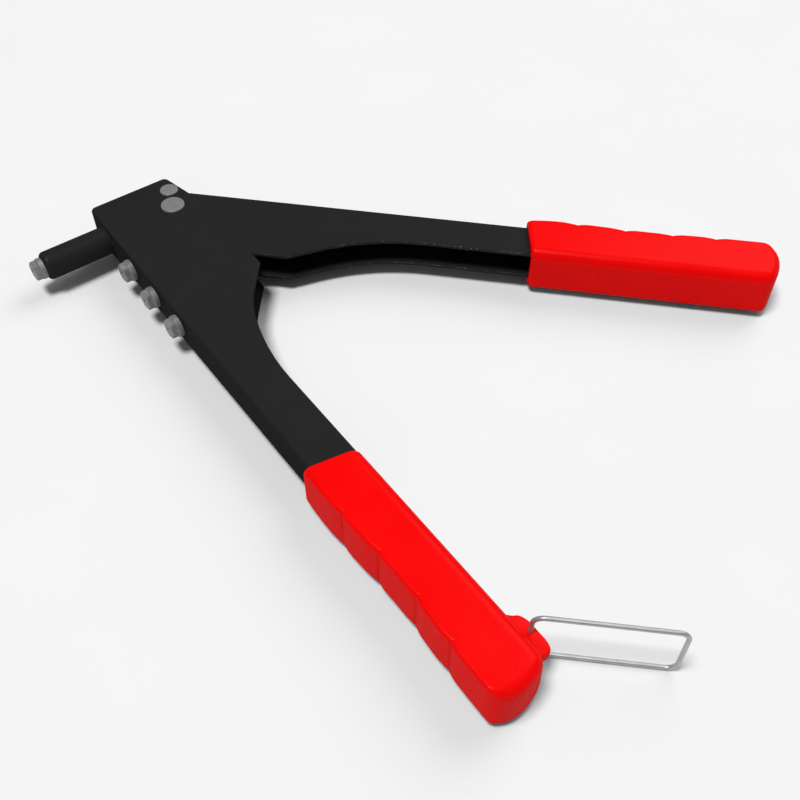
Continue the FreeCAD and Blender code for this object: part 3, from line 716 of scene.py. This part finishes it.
# Its socket is as deep as the handle is long there, and takes the handle's full section.
handle = np.array([vertex.co for vertex in nodes["body_channel"].data.vertices])
handle_rear = handle[handle[:, 1] < mouth_y][:, 0].max()
fixed = Grip(
    length=GRIP_LENGTH,
    low=-(low[0] + FIXED_WIDTH),
    high=-low[0],
    half=high[2],
    socket=(-handle_rear, -body_low[0], body_high[2], mouth_y - body_low[1]),
    notches=[22.7 * MM, 41.4 * MM, 61.0 * MM, 78.9 * MM],
    notch_depth=NOTCH_DEPTH,
    waist=(52.0 * MM, 20.0 * MM, 1.5 * MM),
)
fixed_piece = moulding("fixed_grip_moulding", fixed, fixed_frame, "riveter_body", "fixed_grip")

# The lug on the fixed grip's inner side holds the bail's legs.
combine(fixed_piece, lug(low[0] + FIXED_WIDTH, mouth_y - fixed.length), "UNION")
combine(fixed_piece, lug_hole(Vector(joint_named("bail_swing")["pos_m"])), "DIFFERENCE")

# The lever grip lies along the lever, with its finger side outwards.
LEVER_ANGLE = math.radians(-45.9)
LEVER_MOUTH_LEAD = 2.0 * MM
lever_pivot = Vector(joint_named("lever_pivot")["pos_m"])
lever_frame = Matrix.Translation(lever_pivot) @ Matrix.Rotation(LEVER_ANGLE, 4, "Z")
low, high = extent("lever_grip", lever_frame.inverted())
_, lever_high = extent("lever_channel", lever_frame.inverted())
lever_mouth = low[0] - LEVER_MOUTH_LEAD
lever = Grip(
    length=GRIP_LENGTH,
    low=low[1],
    high=high[1],
    half=high[2],
    socket=(low[1] + WALL, lever_high[1], lever_high[2], lever_high[0] - lever_mouth),
    notches=[21.1 * MM, 40.7 * MM, 59.8 * MM, 77.2 * MM],
    notch_depth=NOTCH_DEPTH,
    waist=(49.0 * MM, 22.0 * MM, 0.95 * MM),
)
moulding(
    "lever_grip_moulding",
    lever,
    lever_frame @ Matrix.Translation((lever_mouth, 0, 0)),
    "lever",
    "lever_grip",
)


# ---------------------------------------------------------------- return spring

# The coil shortens towards its fixed end as the jaw case slides back; here it is only copied onto
# the slide's parent body in place of the CAD coil, and not shortened.
slide = joint_named("jaw_case_slide")
deforming = slide["deforming_nodes"][0]
coil = nodes[deforming["node"]]
spring = bpy.data.objects.new("return_spring_coil", coil.data.copy())
bpy.context.scene.collection.objects.link(spring)
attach(spring, slide["parent"])
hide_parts(deforming["node"])
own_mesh(spring)


# ---------------------------------------------------------------- floor, light and camera


# The middle of the view, and the height of the tool's mid-plane as the camera sees it.
CENTRE = Vector((0.0797, -0.1448, -0.0003))

FLOOR_MIDDLE = (0.12, -0.13)
FLOOR_RADIUS = 3.4
FLOOR_GAP = 0.0002

KEY_OFFSET = Vector((-1.35, 0.0, 5.0))
KEY_SIZE = 1.5
KEY_POWER = 207.0
SOFT_OFFSET = Vector((2.4, 0.4, 2.5))
SOFT_SIZE = 2.8
SOFT_POWER = 46.0

# The sky lights the tool softly, and shows as a pale backdrop behind the table's edge.
SKY_LIGHT = 0.165
SKY_SEEN = 0.86

AZIMUTH = math.radians(-36.4)
ELEVATION = math.radians(49.69)
ROLL = math.radians(0.22)
DISTANCE = 0.365
LENS = 45.0
SENSOR = 36.0
NEAREST = 0.01


def floor():
    """A plain pale table top under the lowest point of the tool."""
    shader = Shader("floor_paper")
    cloud = shader.noise(14.0, detail=3.0)
    tooth = shader.noise(900.0, detail=4.0)
    darkest = (0.80, 0.80, 0.805, 1)
    lightest = (0.815, 0.815, 0.82, 1)
    colour = shader.mix(shader.ramp(cloud, 0.3, 0.7), darkest, lightest)
    normal = shader.bump(tooth, 0.02 * MM)
    material = shader.finish(
        Base_Color=colour, Roughness=0.85, Specular_IOR_Level=0.2, Normal=normal
    )
    bm = bmesh.new()
    bmesh.ops.create_circle(bm, cap_ends=True, segments=128, radius=FLOOR_RADIUS)
    mesh = bpy.data.meshes.new("floor")
    bm.to_mesh(mesh)
    bm.free()
    item = bpy.data.objects.new("floor", mesh)
    item.location = (*FLOOR_MIDDLE, cad_low[2] - FLOOR_GAP)
    mesh.materials.append(material)
    bpy.context.scene.collection.objects.link(item)
    item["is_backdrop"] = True


def area_light(name, offset, size, power):
    """A round lamp standing off from the middle of the view and turned to it."""
    light = bpy.data.lights.new(name, "AREA")
    light.shape = "DISK"
    light.size = size
    light.energy = power
    item = bpy.data.objects.new(name, light)
    item.location = CENTRE + offset
    item.rotation_mode = "QUATERNION"
    item.rotation_quaternion = (-offset).to_track_quat("-Z", "Y")
    bpy.context.scene.collection.objects.link(item)


def sky():
    """An even white sky, brighter to the camera than to the tool."""
    world = bpy.data.worlds.new("studio")
    bpy.context.scene.world = world
    world.use_nodes = True
    tree = world.node_tree
    background = tree.nodes["Background"]
    background.inputs["Color"].default_value = (1.0, 1.0, 1.0, 1.0)
    seen = tree.nodes.new("ShaderNodeLightPath").outputs["Is Camera Ray"]
    strength = tree.nodes.new("ShaderNodeMapRange")
    strength.inputs["To Min"].default_value = SKY_LIGHT
    strength.inputs["To Max"].default_value = SKY_SEEN
    tree.links.new(seen, strength.inputs["Value"])
    tree.links.new(strength.outputs["Result"], background.inputs["Strength"])


def view():
    """The camera, looking at the middle of the view from its azimuth and elevation."""
    back = Vector(
        (
            math.sin(AZIMUTH) * math.cos(ELEVATION),
            -math.cos(AZIMUTH) * math.cos(ELEVATION),
            math.sin(ELEVATION),
        )
    )
    right = Vector((0, 0, 1)).cross(back).normalized()
    up = back.cross(right)
    turned_right = right * math.cos(ROLL) - up * math.sin(ROLL)
    turned_up = right * math.sin(ROLL) + up * math.cos(ROLL)
    camera = bpy.data.cameras.new("camera")
    camera.lens = LENS
    camera.sensor_width = SENSOR
    camera.clip_start = NEAREST
    item = bpy.data.objects.new("camera", camera)
    facing = Matrix((turned_right, turned_up, back)).transposed().to_4x4()
    item.matrix_world = Matrix.Translation(CENTRE + back * DISTANCE) @ facing
    bpy.context.scene.collection.objects.link(item)
    bpy.context.scene.camera = item


floor()
area_light("key", KEY_OFFSET, KEY_SIZE, KEY_POWER)
area_light("soft_box", SOFT_OFFSET, SOFT_SIZE, SOFT_POWER)
sky()
view()
bpy.context.scene.view_settings.view_transform = "Standard"

low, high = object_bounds()
